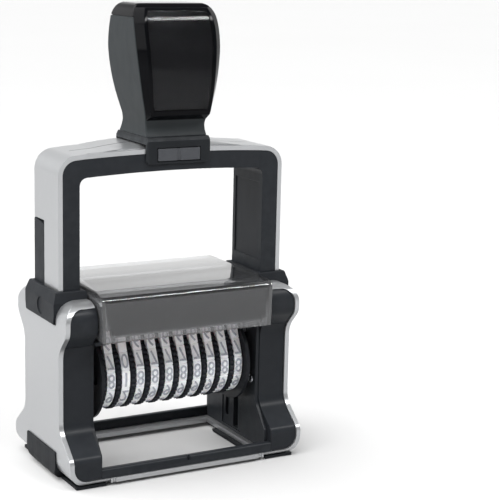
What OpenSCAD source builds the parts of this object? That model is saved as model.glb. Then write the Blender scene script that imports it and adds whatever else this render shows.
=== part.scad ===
// Self-inking ten-band numbering machine.
// Millimetres, +Z up, the paper is z = 0, X is the width, the front faces -Y.
// Drawn at rest: stirrup up, print face turned up against the ink felt.

/* [Housing] */
// depth over the bottom bulges
body_d = 46.6; // [38:0.2:56]
// depth over the shoulders
shoulder_d = 40.4; // [36:0.2:48]
// depth at the waist
waist_d = 28.6; // [26.5:0.1:34]
// shoulder tops above the level of the ink
shoulder_over = 9; // [7:0.25:11]
// wall of the silver shells
shell_t = 1.5; // [1.2:0.1:1.8]
// room between the number unit and each cheek
side_room = 2.5; // [2:0.1:5]

/* [Travel] */
// how far the stirrup goes down
stroke = 32; // [26:0.5:39]
// flip axis to print face
face_r = 8; // [7:0.25:10]
// flip axis to cam pin
cam_r = 6; // [4.5:0.25:7.2]

/* [Number bands] */
// width of one band
band_w = 2.8; // [2.2:0.1:3.6]
// thickness of one setting disc
disc_t = 1.5; // [1:0.1:1.8]
// outer radius of a band on its wheel
band_r = 11.8; // [9.8:0.1:14.2]
// belt and type together
band_t = 2.4; // [1.8:0.1:3]
// room for the raised figures on a type block
type_t = 0.35; // [0.2:0.05:0.5]
// depth of the ruled grooves between type blocks
rule_t = 0.35; // [0.2:0.05:0.6]
// type blocks on one band
characters = 14; // [10:1:18]
// half length of the flat print face
face_half = 2.9; // [2.4:0.1:3.5]
// height of the bridge that carries the print face
bridge_t = 3.45; // [2.5:0.05:4.5]
// serrations on one setting disc
teeth = 40; // [18:2:48]

/* [Ink pad] */
// top of the smoke cover above the level of the ink
cover_over = 12; // [10:0.2:15]
// front of the smoke cover from the middle
cover_front = 22; // [18:0.1:27]
// rear of the smoke cover from the middle
cover_rear = 20.4; // [17:0.1:25]
// wall of the smoke cover
cover_t = 1.5; // [1.2:0.1:1.8]

/* [Stirrup] */
// depth of legs and bar
stirrup_d = 19.6; // [16:0.2:24]
// width of one leg without its skin
leg_w = 5.5; // [5.1:0.1:6.6]
// gap under the corners of the bar when the stirrup is down
bar_gap = 0.5; // [0.3:0.1:8]
// height of the black bar
bar_h = 5.9; // [5:0.1:8]
// silver skin on legs and bar
skin_t = 1.5; // [1:0.1:1.8]

/* [Grip] */
// overall height
grip_top = 145.7; // [138:0.1:155]
// half width of the saddle
saddle_half = 10.9; // [9.5:0.1:13]
// how far the saddle stands out from the bar at the front
saddle_out = 3.2; // [2:0.1:4]

/* [Fits] */
// gap round pins that turn or slide
fit = 0.05; // [0.03:0.01:0.08]
// gap between fixed pieces
seam = 0.05; // [0.03:0.01:0.1]
// gap between sliding mouldings
slide = 0.3; // [0.2:0.05:0.4]
// gap beside the sliding legs
leg_gap = 0.2; // [0.1:0.05:0.4]

/* [Hidden] */
arc_step = 9;
bands = 10;                               // one wheel node and one band node each
press = 0.02;                             // gap round pins that are pressed in
pin_r = 1.5;                              // trunnions and wheel axle
cam_pin_r = 1.2;
disc_gap = 0.1;                           // from the edge of its own space to a disc
band_gap = 0.3;                           // from a disc to a band
pitch = disc_gap + disc_t + band_w + 2 * band_gap;
set_w = bands * pitch;                    // all bands side by side
plate_in = set_w / 2;
plate_t = 1.1;
plate_out = plate_in + plate_t;
cheek_t = 1.15;
cheek_in = plate_out + side_room;
frame_wall = 1.6;
// the width builds up from the bands outwards: cheek, frame, leg, skin, shell
win = cheek_in + cheek_t + seam;          // half of the window between the posts
leg_in = win + frame_wall + leg_gap;
leg_out = leg_in + leg_w;
leg_mid = (leg_out + leg_in) / 2;
leg_d = stirrup_d / 2;
swell = saddle_out - 0.8;                 // swelling of the bar's front in its middle
swell_r = (pow(leg_in - 1, 2) + pow(swell, 2)) / (2 * swell);
lip_in = 0.9;                             // width of the lip along the bar's front
wall_in = leg_out + skin_t + 2 * seam + slide;   // inner face of the shells
hw = wall_in + shell_t;                   // half width over the shells
cover_w = 2 * (win - slide);
bulge_y = body_d / 2;
shoulder_y = shoulder_d / 2;
waist_y = waist_d / 2;
foot_t = 1;                               // feet under the shells
foot_out = 0.4;                           // how far they stand out beside the shells
shell_r = 6;                              // rounded corners of the housing
sill_top = foot_t + shell_t;
bar_top_z = sill_top + 3.1;               // front and rear bars between the posts
rim = 0.6;                                // silver rim proud of the black frame
knee_z = 16.8;                            // where the waist begins above the bulge
// the height builds up from the paper: print face down, flip axis, ink level, shoulders, bar
axis_z = stroke + face_r;                 // flip axis at rest
pad_z = axis_z + face_r;                  // print face at rest
shoulder_h = pad_z + shoulder_over;
split_z = shoulder_h - 14;                // joint of frame and shoulders
collar_z = shoulder_h - 7.4;
collar_top = shoulder_h + 2.5;
cover_h = pad_z + cover_over;
cover_crown = 0.6;
corner_drop = 2.7;                        // from the middle of the bar's underside to its inner corners
bar_under = max(collar_top + corner_drop, cover_h + cover_crown + 0.5) + stroke + bar_gap;
bar_top = bar_under + bar_h;
skin_top = bar_top + skin_t;
slot_low = face_r - pin_r - 2.4;          // trunnion slots, with run-out below
slot_high = axis_z + pin_r + slide;
field_t = 0.3;
screw_y = waist_y - 3.9;                  // cheek screws
screw_z = 24;
screw_r = 0.8;
cheek_top = pad_z - 4.8;
function floor_z(x) = foot_t + shell_r
    - sqrt(max(0.01, pow(shell_r - shell_t, 2) - pow(max(0, x - hw + shell_r), 2)));
leg_low = floor_z(leg_out) + stroke + slide;
skin_low = floor_z(leg_out + skin_t + 2 * seam) + stroke + slide;
chan_y = leg_d + slide;
dial_r = 2.7;                             // bare round field on each collar
collar_y = chan_y + 1.9;
collar_out = 0.6;                         // how far collars stand out from the shells
corner_r = 4.6;
bar_fall = 1.4;                           // how much lower the bar is at its ends
crown_up = 1.1;
groove = 0.3;
strip_y = 1.8;                            // black strips on the rear half of the legs
strip_top = bar_under - 15.2;
belt_in = band_r - band_t;
disc_r = band_r + 0.2;
bend_r = band_t + 0.6;                    // outer radius where a band bends onto the print face
bridge_half = face_half + 0.5;
bridge_top = pad_z - band_t - 0.1;
bridge_low = bridge_top - bridge_t;
wheel_z = bridge_low - 0.45 - disc_r;     // wheel axle
plate_r = band_r + 2.4;                   // end plates and their hubs
hub_t = 0.9;
axle_l = 2 * (plate_out + hub_t + 0.3);
spring_y = 5.6;
spring_r = 1.5;
spring_wire = 0.3;
spring_low = floor_z(leg_mid + spring_r + spring_wire) + 0.05;
spring_top = bar_under - 6.5;
saddle_y = leg_d + saddle_out;
saddle_back = leg_d + 1.2;
saddle_top = skin_top + 3.3;
saddle_low = bar_under + 2.3;
button_half = 7.4;
button_low = bar_under + 3.2;
button_high = skin_top + 0.1;
button_travel = 1.8;
cover_low = cheek_top + 1.6;
rail_in = cover_w / 2 - cover_t - 1.5;
rail_y = min(cover_front, cover_rear) - cover_t - 1.4;
felt_half = set_w / 2 - 0.1;
felt_y = rail_y - 4.5;
felt_t = 4;
tray_low = pad_z + 0.6;
tray_top = cover_h - cover_t - 1.7;
silver = [0.77, 0.79, 0.8];
black = [0.17, 0.18, 0.2];
soft = [0.27, 0.29, 0.31];
smoke = [0.3, 0.31, 0.33, 0.6];
steel = [0.6, 0.62, 0.64];
white = [0.9, 0.91, 0.93];
ink = [0.5, 0.08, 0.1];
$fn = 48;

// node to draw, or all

// ---- outlines ----
function unit(v) = v / norm(v);
function turn(a) = a > 180 ? a - 360 : a < -180 ? a + 360 : a;
// corners are [x, y, radius]; every corner becomes an arc
function rounded(p) = [for (i = [0 : len(p) - 1])
    let (b = [p[i][0], p[i][1]], q = p[(i + len(p) - 1) % len(p)], s = p[(i + 1) % len(p)],
        u = unit([q[0], q[1]] - b), v = unit([s[0], s[1]] - b), r = p[i][2],
        half = acos(u * v) / 2, c = b + unit(u + v) * r / sin(half),
        f = b + u * r / tan(half) - c, g = b + v * r / tan(half) - c,
        a0 = atan2(f[1], f[0]), da = turn(atan2(g[1], g[0]) - a0),
        n = max(1, ceil(abs(da) / arc_step)))
    each r == 0 ? [b] : [for (k = [0 : n]) c + r * [cos(a0 + da * k / n), sin(a0 + da * k / n)]]];
function both(p) = concat(p, [for (i = [len(p) - 1 : -1 : 0]) [-p[i][0], p[i][1], p[i][2]]]);

// side view of the housing, inset by e
function housing_side(e) = rounded(both([
    [bulge_y - e, foot_t, 2.5], [bulge_y - e, 9.4, 3], [waist_y - e, knee_z, 6],
    [waist_y - e, shoulder_h - 15.4, 7], [shoulder_y - e, shoulder_h - 9.2, 4],
    [shoulder_y - e, shoulder_h, 6]]));
// front view of the housing, inset by e
function housing_front(e) = rounded(both([
    [hw - e, foot_t + e, shell_r - e], [hw - e, shoulder_h - e, shell_r - e]]));

module along_x(x0, x1) translate([x0, 0, 0]) rotate([90, 0, 90]) linear_extrude(x1 - x0) children();
module along_y(y0, y1) translate([0, y1, 0]) rotate([90, 0, 0]) linear_extrude(y1 - y0) children();
module box(lo, hi) translate(lo) cube(hi - lo);
module rod_x(x0, x1, r) translate([x0, 0, 0]) rotate([0, 90, 0]) cylinder(r = r, h = x1 - x0);

// ---- silver housing ----
module shell() {
    difference() {
        intersection() {
            along_x(-hw - 1, -win + 6) polygon(housing_side(0));
            along_y(-bulge_y - 1, bulge_y + 1) difference() {
                polygon(housing_front(0));
                polygon(housing_front(shell_t));
            }
            union() {
                box([-hw - 1, -bulge_y - 1, 0], [-win - 0.4, bulge_y + 1, shoulder_h + 1]);
                box([-hw - 1, -bulge_y - 1, 0], [-win + 2.8, bulge_y + 1, sill_top]);
            }
        }
        box([-hw - 1, -collar_y - seam, collar_z - seam], [-win, collar_y + seam, shoulder_h + 1]);
    }
}
module left_shell() color(silver) shell();
module right_shell() color(silver) mirror([1, 0, 0]) shell();

module sill() {
    sill_x = win - 2.8 - seam;
    difference() {
        box([-sill_x, -bulge_y + 0.2, foot_t], [sill_x, -bulge_y + 6.4, sill_top]);
        for (s = [-1, 1])                                    // guide marks under the print line
            translate([s * (set_w / 2 + 0.7), -bulge_y + 0.2, foot_t - 1])
                cylinder(r = 0.5, h = shell_t + 2);
    }
}
module front_sill() color(silver) sill();
module rear_sill() color(silver) rotate([0, 0, 180]) sill();

// ---- black frame ----
module frame_block(z0, z1) {
    intersection() {
        along_x(-wall_in + seam, -win) polygon(housing_side(rim));
        along_y(-bulge_y, bulge_y) polygon(housing_front(shell_t + seam));
        box([-hw, -bulge_y, z0], [0, bulge_y, z1]);
    }
}
module frame() {
    difference() {
        frame_block(sill_top + seam, split_z - seam);
        box([-hw, -chan_y, 0], [-win - frame_wall, chan_y, shoulder_h]);
        box([-hw, -pin_r - fit, slot_low], [0, pin_r + fit, slot_high]);
        for (s = [-1, 1])                                    // screw seats for the cheek
            translate([0, s * screw_y, screw_z]) rod_x(-win - frame_wall - 1, -win + 1, screw_r);
    }
}
module left_frame() color(black) frame();
module right_frame() color(black) mirror([1, 0, 0]) frame();

module shoulder() {
    difference() {
        frame_block(split_z + seam, shoulder_h - shell_t - seam);
        box([-hw, -collar_y - seam, collar_z - seam], [0, bulge_y, shoulder_h]);
        box([-hw, -chan_y, 0], [0, bulge_y, shoulder_h]);
    }
}
module left_shoulders() color(black) for (m = [0, 1]) mirror([0, m, 0]) shoulder();
module right_shoulders() color(black) for (m = [0, 1]) mirror([1, 0, 0]) mirror([0, m, 0]) shoulder();

module cross_bar() {
    difference() {
        along_x(-win + seam, win - seam) polygon(rounded([
            [-bulge_y + rim, sill_top + seam, 0], [-bulge_y + rim + 2.4, sill_top + seam, 0],
            [-bulge_y + rim + 2.2, bar_top_z, 0.5], [-bulge_y + rim, bar_top_z, 0.8]]));
        translate([0, -bulge_y + rim - 0.4, bar_top_z - 1.5])    // centre mark
            rotate([0, 0, 45]) translate([-0.8, -0.8, 0]) cube([1.6, 1.6, 4]);
    }
}
module front_bar() color(black) cross_bar();
module rear_bar() color(black) rotate([0, 0, 180]) cross_bar();

// ---- cam cheeks ----
// the cam pin runs down while it turns half a turn about the flip axis
function cam_at(a) = [-cam_r * cos(a), axis_z - stroke * a / 180 + cam_r * sin(a)];
function cam_way(a) = unit([cam_r * sin(a), -stroke / PI + cam_r * cos(a)]);
module cam_groove(w) {
    left = [for (a = [0 : 6 : 180]) cam_at(a) + w * [-cam_way(a)[1], cam_way(a)[0]]];
    right = [for (a = [180 : -6 : 0]) cam_at(a) - w * [-cam_way(a)[1], cam_way(a)[0]]];
    polygon(concat(left, right));
    for (a = [0, 180]) translate(cam_at(a)) circle(w);
}
module cheek() along_x(-cheek_in - cheek_t, -cheek_in) difference() {
    polygon(rounded(both([[bulge_y - 3.1, sill_top + seam, 0], [bulge_y - 3.1, 9, 2],
        [waist_y - 0.9, knee_z, 5], [waist_y - 0.9, cheek_top, 1]])));
    translate([-pin_r - fit, slot_low]) square([2 * (pin_r + fit), slot_high - slot_low]);
    cam_groove(cam_pin_r + fit);
    for (s = [-1, 1]) translate([s * screw_y, screw_z]) circle(screw_r);
}
// recessed field round the slot and the cam groove
module cheek_field() along_x(-cheek_in - field_t, -cheek_in + 1) polygon([[4, cheek_top + 1],
    [waist_y - 5.4, cheek_top - 4], [waist_y - 5.4, 3.6], [-4, 3.6], [-4, 13], [5.4 - waist_y, 20.7],
    [5.4 - waist_y, cheek_top - 4], [-4, cheek_top + 1]]);
module guide_cheek() difference() {
    cheek();
    cheek_field();
}
module left_cheek() color(black) guide_cheek();
module right_cheek() color(black) mirror([1, 0, 0]) guide_cheek();

// ---- collars round the legs ----
module collar() {
    difference() {
        intersection() {
            along_x(-hw - 1, -win - 0.1) polygon(rounded(both([
                [collar_y - 0.6, collar_z, 0.6], [collar_y, collar_z + 3, 2],
                [collar_y, collar_top - 3.2, 1.2], [collar_y - 1, collar_top, 0.5]])));
            along_y(-collar_y - 1, collar_y + 1) polygon(rounded([
                [-hw - collar_out, collar_z, 0.6], [-win - 0.1, collar_z, 0],
                [-win - 0.1, collar_top, 0.8], [-hw + 0.5, collar_top, 0.5],
                [-hw - collar_out, collar_top - 3.4, 2]]));
        }
        box([-wall_in, -chan_y, 0], [-win - frame_wall, chan_y, collar_top + 1]);
        translate([-hw - collar_out - 0.4, -1, collar_z + 4]) rotate([0, 90, 0])
            cylinder(r = dial_r, h = 0.7);
    }
}
module left_collar() color(black) collar();
module right_collar() color(black) mirror([1, 0, 0]) collar();

// ---- feet ----
module foot() {
    foot_in = win - 4.4;
    difference() {
        union() {
            intersection() {
                along_x(-hw - foot_out, -foot_in) polygon(rounded(both([
                    [9.6, 0, 1], [12.2, 4, 1.5], [12, 9.4, 0.6]])));
                along_y(-bulge_y, bulge_y) polygon(rounded([[-foot_in, 0, 0.3], [-foot_in, foot_t - seam, 0],
                    [-hw + 2, foot_t + 6, 0], [-hw + 1, 12, 0], [-hw - foot_out, 12, 0],
                    [-hw - foot_out, 0, 3.5]]));
            }
            box([-hw + 2.6, -bulge_y + 1, 0], [-win + 1.8, bulge_y - 1, foot_t - seam]);
        }
        along_y(-bulge_y - 1, bulge_y + 1) polygon(housing_front(-seam));
    }
}
module left_foot() color(black) foot();
module right_foot() color(black) mirror([1, 0, 0]) foot();

// ---- ink pad ----
module pad_rail() {
    along_y(-rail_y, rail_y) polygon([
        [-win + seam, cheek_top + seam], [-rail_in, cheek_top + seam], [-rail_in, pad_z + 0.5],
        [-rail_in - 1.2, pad_z + 0.5], [-rail_in - 1.2, cheek_top + 1.2], [-win + seam, cheek_top + 1.2]]);
}
module left_pad_rail() color(black) pad_rail();
module right_pad_rail() color(black) mirror([1, 0, 0]) pad_rail();

module pad_cover() {
    c = cover_w / 2;
    color(smoke) difference() {
        intersection() {
            along_x(-c, c) polygon(rounded([
                [-cover_front, cover_low, 0.3], [cover_rear, cover_low + 4, 0.3],
                [cover_rear, cover_h - 0.2, 1.6], [3, cover_h + cover_crown, 60],
                [-cover_front + 6, cover_h - 0.3, 20], [-cover_front + 0.3, cover_h - 1.3, 1.8]]));
            along_y(-cover_front - 1, cover_rear + 1) polygon(rounded([
                [-c + 0.5, cover_low - 1, 0], [c - 0.5, cover_low - 1, 0],
                [c, cover_h - 0.6, 1.4], [c - 4, cover_h + 0.8, 6],
                [-c + 4, cover_h + 0.8, 6], [-c, cover_h - 0.6, 1.4]]));
        }
        along_x(-c + cover_t, c - cover_t) polygon([
            [-cover_front + cover_t, cover_low - 1], [cover_rear + 1, cover_low - 1],
            [cover_rear + 1, cover_h - cover_t - 0.4], [0, cover_h - cover_t],
            [-cover_front + 6, cover_h - cover_t - 0.7],
            [-cover_front + cover_t, cover_h - cover_t - 1.6]]);
    }
}
module pad_tray() {
    t = cover_w / 2 - cover_t - 0.2;
    f = cover_front - cover_t - 0.2;
    color(black) difference() {
        union() {
            along_y(-f, cover_rear - 1.8) polygon([[-t, tray_top], [-t, tray_top - 1.6],
                [-t + 0.4, tray_low], [t - 0.4, tray_low], [t, tray_top - 1.6], [t, tray_top]]);
            along_y(-f, -f + 1.4) polygon([[-t, tray_top], [-t + 2.6, cover_low + 1.4],
                [t - 2.6, cover_low + 1.4], [t, tray_top]]);
        }
        box([-felt_half - seam, -felt_y - seam, tray_low - 1],
            [felt_half + seam, felt_y + seam, pad_z + felt_t + seam]);
        for (s = [-1, 1], y = [-6, 6])                       // ink wells above the felt
            translate([s * 12, y, pad_z + felt_t - 1]) cylinder(r = 3, h = 3.4);
    }
}
module ink_felt() color(ink)
    box([-felt_half, -felt_y, pad_z + seam], [felt_half, felt_y, pad_z + felt_t]);

// ---- stirrup ----
function arch(h, x, e) = h - e * pow(x / 33, 2);
// XZ outline of the arch: half width, height, corner radius, fall at the ends
module bow(w, h, r, e) polygon(rounded(concat([[w, leg_low, 0], [w, arch(h, w, e), r]],
    [for (x = [w - r - 3 : -(w - r - 3) / 6 : -w + r + 2]) [x, arch(h, x, e), 0]],
    [[-w, arch(h, w, e), r], [-w, leg_low, 0]])));
module button_way() box([-button_half, -saddle_y - 1, button_low],
    [button_half, -leg_d + button_travel + 0.3, button_high]);

// swelling front of the bar, drawn in by e
module swell_way(e) translate([0, swell_r - swell - leg_d, 0])
    cylinder(r = swell_r - e, h = 2 * bar_top);
// depth of the stirrup: straight legs, the bar's front swelling between them
module depth(e) {
    box([-hw, e - leg_d, 0], [hw, leg_d, 2 * bar_top]);
    swell_way(e);
}

module stirrup_core() {
    color(black) difference() {
        intersection() {
            along_y(-leg_d - swell, leg_d) difference() {
                bow(leg_out, bar_top, corner_r, bar_fall);
                translate([0, -1]) bow(leg_in, bar_under + 1.4, 2.6, 1.6);
            }
            depth(0);
        }
        for (m = [0, 1]) mirror([m, 0, 0]) {
            for (s = [-1, 1]) translate([leg_mid, s * spring_y, leg_low - 1])
                cylinder(r = spring_r + spring_wire + 0.2, h = spring_top - leg_low + 1);
            translate([0, 0, axis_z]) rod_x(leg_in - 1, leg_mid + 1.5, pin_r + fit);
            box([leg_in - 1, -leg_d + 1.7, collar_top + 4],
                [leg_in + 0.35, leg_d - 1.7, bar_under - 6]);
        }
        button_way();
    }
}
// raised crown of the bar, lowered by e
module crown(e) intersection() {
    along_y(-leg_d, leg_d) polygon(concat(
        [for (x = [24 : -4 : -24]) [x, arch(skin_top + crown_up - e, x, 3.4)]],
        [[-24, skin_top - 1], [24, skin_top - 1]]));
    along_x(-hw, hw) polygon([[-leg_d, bar_top], [-leg_d, skin_top - e],
        [-leg_d + 5.5, skin_top + crown_up - e], [leg_d, skin_top + crown_up - e], [leg_d, bar_top]]);
}
module stirrup_skin() {
    strip_x = leg_out + seam;
    color(silver) difference() {
        union() {
            intersection() {
                along_y(-leg_d - swell, leg_d)
                    bow(leg_out + skin_t, skin_top, corner_r + skin_t, bar_fall);
                depth(0);
            }
            crown(0);
        }
        difference() {                                       // parting line along the bar
            box([-leg_out + 6, -0.25, skin_top - 1.4], [leg_out - 6, 0.25, skin_top + 3]);
            crown(groove);
            along_y(-1, 1) bow(leg_out, skin_top - groove, corner_r, bar_fall);
        }
        difference() {                                       // line behind the front lip
            intersection() {
                swell_way(lip_in);
                box([8 - leg_out, -leg_d - swell, bar_top], [leg_out - 8, 2 - leg_d, 2 * bar_top]);
            }
            swell_way(lip_in + 0.5);
            along_y(-leg_d - swell, 3 - leg_d) bow(leg_out, skin_top - groove, corner_r, bar_fall);
        }
        along_y(-leg_d - swell - 1, leg_d + 1)
            bow(leg_out + seam, bar_top + seam, corner_r, bar_fall);
        for (m = [0, 1]) mirror([m, 0, 0])
            box([strip_x - 1, strip_y - seam, 0], [strip_x + 9, leg_d + 1, strip_top + seam]);
        box([-hw, -leg_d - 1, 0], [hw, leg_d + 1, skin_low]);
        button_way();
    }
}
module leg_strip() {
    x0 = leg_out + 2 * seam;
    along_x(-x0 - skin_t, -x0) polygon(rounded([
        [strip_y, skin_low, 0], [leg_d + 0.1, skin_low, 0],
        [leg_d + 0.1, strip_top, 0.6], [strip_y, strip_top - 1.2, 0.6]]));
}
module left_leg_strip() color(black) leg_strip();
module right_leg_strip() color(black) mirror([1, 0, 0]) leg_strip();

module saddle() {
    color(soft) difference() {
        intersection() {
            along_x(-saddle_half, saddle_half) polygon(rounded([
                [-saddle_y, saddle_low, 0.5], [saddle_back, saddle_low, 0.5],
                [saddle_back, skin_top + crown_up, 1], [saddle_back - 1.3, saddle_top, 0.1],
                [-saddle_y + 0.5, saddle_top, 0.4],
                [-saddle_y, saddle_top - 1.2, 0.6]]));
            along_y(-saddle_y, saddle_back) polygon(rounded([
                [-saddle_half, saddle_low, 1.6], [saddle_half, saddle_low, 1.6],
                [saddle_half, skin_top + crown_up, 1], [saddle_half - 0.5, saddle_top, 0.1],
                [0.5 - saddle_half, saddle_top, 0.1], [-saddle_half, skin_top + crown_up, 1]]));
            translate([0, 0, saddle_low]) linear_extrude(saddle_top - saddle_low)
                polygon(plan(saddle_half, -saddle_y, saddle_back, 0.5, 1.2));
        }
        intersection() {
            box([-saddle_half - 1, -saddle_y - 1, 0],
                [saddle_half + 1, leg_d + seam, skin_top + crown_up + seam]);
            swell_way(-seam);
        }
        button_way();
    }
}
module lock_button() {
    g = 0.25;
    y0 = -saddle_y - 0.2;
    color(soft) difference() {
        box([-button_half + g, y0, button_low + g], [button_half - g, -leg_d, button_high - g]);
        translate([0, y0 - 0.5, 0]) cylinder(r = 0.9, h = 2 * bar_top);
    }
}

// ---- grip ----
// [height share, half width, front, back, rear corner radius, half width of the bezel's face]
shape = [[0, 10.35, -11.3, 9.65, 1.2, 9.6], [0.04, 10.2, -10.6, 9.2, 1.8, 9.6],
    [0.09, 10.2, -10.3, 8.8, 2.6, 9.7], [0.14, 10.6, -10.9, 8.6, 3, 9.9],
    [0.19, 11.2, -11.8, 8.7, 3, 10.1], [0.31, 12.3, -12.3, 10.2, 3.2, 10.7],
    [0.46, 13.3, -12.5, 11.6, 3.4, 11.2], [0.635, 14.15, -12.1, 11.9, 3.4, 11.7],
    [0.76, 14.4, -11.2, 11.1, 3.4, 11.9], [0.85, 14.35, -10.1, 10.1, 3.2, 11.8],
    [0.91, 14.1, -9, 9.4, 3, 11.4], [0.955, 13.4, -7.9, 8.5, 2.8, 10.8],
    [0.985, 12.4, -7, 7.5, 2.6, 10], [1, 11, -6, 6.4, 2.4, 9]];
function pick(i) = shape[max(0, min(len(shape) - 1, i))];
function smooth(i, t) = 0.5 * (2 * pick(i) + (pick(i + 1) - pick(i - 1)) * t
    + (2 * pick(i - 1) - 5 * pick(i) + 4 * pick(i + 1) - pick(i + 2)) * t * t
    + (3 * pick(i) - pick(i - 1) - 3 * pick(i + 1) + pick(i + 2)) * t * t * t);
grip_low = saddle_top + seam;
grip_rows = [for (i = [0 : len(shape) - 2], t = [0, 1 / 3, 2 / 3]) smooth(i, t), pick(len(shape))];
function row_z(h) = grip_low + (grip_top - grip_low) * h;
// value n of the grip at a height share: 1 half width, 2 front, 5 bezel
function grip_at(h, n) = lookup(h, [for (r = grip_rows) [r[0], r[n]]]);
// rounded rectangle, anticlockwise: half width, front, back, front and rear corner radius
function plan(w, f, b, rf, rb) = [
    for (c = [[w - rf, f + rf, rf, -90], [w - rb, b - rb, rb, 0], [rb - w, b - rb, rb, 90],
        [rf - w, f + rf, rf, 180]], k = [0 : 6])
    [c[0] + c[2] * cos(c[3] + 15 * k), c[1] + c[2] * sin(c[3] + 15 * k)]];
// stacked rings of equal length, anticlockwise seen from the last one, closed at both ends
module skin(rings) {
    n = len(rings[0]);
    m = len(rings);
    polyhedron([for (r = rings) each r], concat(
        [[for (k = [0 : n - 1]) k], [for (k = [n - 1 : -1 : 0]) (m - 1) * n + k]],
        [for (j = [0 : m - 2], k = [0 : n - 1]) each [
            [j * n + k, (j + 1) * n + (k + 1) % n, j * n + (k + 1) % n],
            [j * n + k, (j + 1) * n + k, (j + 1) * n + (k + 1) % n]]]));
}
// the grip's own form, drawn in by e
module grip_form(e) skin([for (r = grip_rows)
    [for (p = plan(r[1] - e, r[2] + e, r[3] - e, 0.5, r[4])) [p[0], p[1], row_z(r[0])]]]);
cap_h = 0.895;                            // height share of the line under the cap
module grip_body() color(soft) difference() {
    grip_form(0);
    difference() {
        box([-hw, -hw, row_z(cap_h)], [hw, hw, row_z(cap_h) + groove]);
        grip_form(groove);
    }
}
// heights of a slab's rings: its ends and the grip's own rows between them
function levels(lo, hi) = concat([lo],
    [for (r = grip_rows) if (r[0] > lo + 0.001 && r[0] < hi - 0.001) r[0]], [hi]);
// ring of a slab before the grip's front at height share h: distances of its back and face from
// that front, and half widths of its back and face
function slab_ring(h, back, face, w_back, w_face) = let (y = grip_at(h, 2), z = row_z(h))
    [[-w_back, y - back, z], [-w_face, y - face, z], [w_face, y - face, z], [w_back, y - back, z]];
bezel_lo = 0.125;
bezel_rise = 0.165;                       // where its sloping lower edge ends
bezel_hi = 0.97;
bezel_t = 2.35;
panel_w = 0.9;                            // panel as a share of the bezel's face
panel_lo = 0.205;
panel_hi = 0.95;
panel_in = 0.7;                           // depth of the recess for card and window
function bezel_ring(h) = slab_ring(h, seam, bezel_t, grip_at(h, 1) - 0.05, grip_at(h, 5));
module panel(lo, hi, back, face, side) skin([for (h = levels(lo, hi))
    slab_ring(h, back, face, panel_w * grip_at(h, 5) - side, panel_w * grip_at(h, 5) - side)]);
module grip_front() color(black) difference() {
    skin(concat([slab_ring(bezel_lo, seam, seam + 0.2, grip_at(bezel_lo, 1) - 0.05,
        grip_at(bezel_lo, 1) - 0.25)], [for (h = levels(bezel_rise, bezel_hi)) bezel_ring(h)]));
    panel(panel_lo, panel_hi, bezel_t - panel_in, bezel_t + 2, 0);
}
module label_card() color(soft)
    panel(panel_lo + 0.002, panel_hi - 0.002, bezel_t - panel_in + seam, bezel_t - panel_in + 0.25, seam);
module label_window() color(smoke)
    panel(panel_lo + 0.002, panel_hi - 0.002, bezel_t - panel_in + 0.3, bezel_t, seam);

// ---- return springs ----
module coil(turns, steps) {
    h = (spring_top - spring_low - 2 * spring_wire) / turns;
    skin([for (k = [0 : turns * steps]) let (a = 360 * k / steps)
        [for (j = [0 : 4]) let (b = -72 * j, q = spring_r + spring_wire * cos(b))
            [q * cos(a), q * sin(a), spring_wire * (1 + sin(b)) + h * k / steps]]]);
}
module return_springs() color(steel) for (sx = [-1, 1], sy = [-1, 1])
    translate([sx * leg_mid, sy * spring_y, spring_low]) coil(12, 9);

// ---- number unit ----
module end_plate() difference() {
    union() {
        along_x(-plate_out, -plate_in) {
            intersection() {
                translate([0, wheel_z]) circle(plate_r);
                translate([-plate_r, 0]) square([2 * plate_r, pad_z - 3.4]);
            }
            polygon(rounded(both([[cam_r + 3.6, wheel_z + 4, 0], [cam_r + 2.6, axis_z + 3, 2],
                [face_half + 1.5, pad_z - 3.4, 1.5]])));
        }
        along_x(-plate_out - hub_t, -plate_out + 0.1) {
            translate([0, wheel_z]) circle(3.6);
            translate([0, axis_z]) circle(min(3, face_r - 5));
            polygon([[-1.2, wheel_z], [1.2, wheel_z], [1.2, axis_z], [-1.2, axis_z]]);
        }
    }
    translate([0, 0, wheel_z]) rod_x(-cheek_in, 0, pin_r + press);
    translate([0, 0, axis_z]) rod_x(-cheek_in, 0, pin_r + press);
    translate([0, -cam_r, axis_z]) rod_x(-cheek_in, 0, cam_pin_r + press);
    for (a = [40, 90, 140, 220, 320])                        // holes that save weight
        translate([0, 8.6 * cos(a + 90), wheel_z + 8.6 * sin(a + 90)]) rod_x(-cheek_in, 0, 1.5);
}
module left_end_plate() color(black) end_plate();
module right_end_plate() color(black) mirror([1, 0, 0]) end_plate();
module trunnion() translate([0, 0, axis_z]) rod_x(-leg_mid - 1.2, -plate_in, pin_r);
module trunnions() color(steel) for (m = [0, 1]) mirror([m, 0, 0]) trunnion();
module cam_pin() translate([0, -cam_r, axis_z]) rod_x(-cheek_in - cheek_t + 0.1, -plate_in, cam_pin_r);
module cam_pins() color(steel) for (m = [0, 1]) mirror([m, 0, 0]) cam_pin();
module wheel_axle() color(steel) translate([0, 0, wheel_z]) rod_x(-axle_l / 2, axle_l / 2, pin_r);
module print_bridge() color(black) along_x(-plate_in + seam, plate_in - seam)
    polygon(rounded([[-bridge_half, bridge_low, 0.3], [bridge_half, bridge_low, 0.3],
        [bridge_half, bridge_top, 0.5], [-bridge_half, bridge_top, 0.5]]));

// left edge of a wheel's own space
function wheel_x(i) = (i - (bands + 1) / 2) * pitch - pitch / 2;
function band_x(i) = wheel_x(i) + disc_gap + disc_t + band_gap;
module detent_comb() color(steel) union() {
    box([-plate_in + seam, band_r + 1.2, wheel_z - 2.4], [plate_in - seam, band_r + 2.1, wheel_z + 2.4]);
    for (i = [1 : bands]) translate([wheel_x(i) + 0.4, disc_r + 0.1, wheel_z - 0.6])
        cube([disc_t - 0.6, band_r + 1.7 - disc_r, 1.2]);
}

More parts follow.
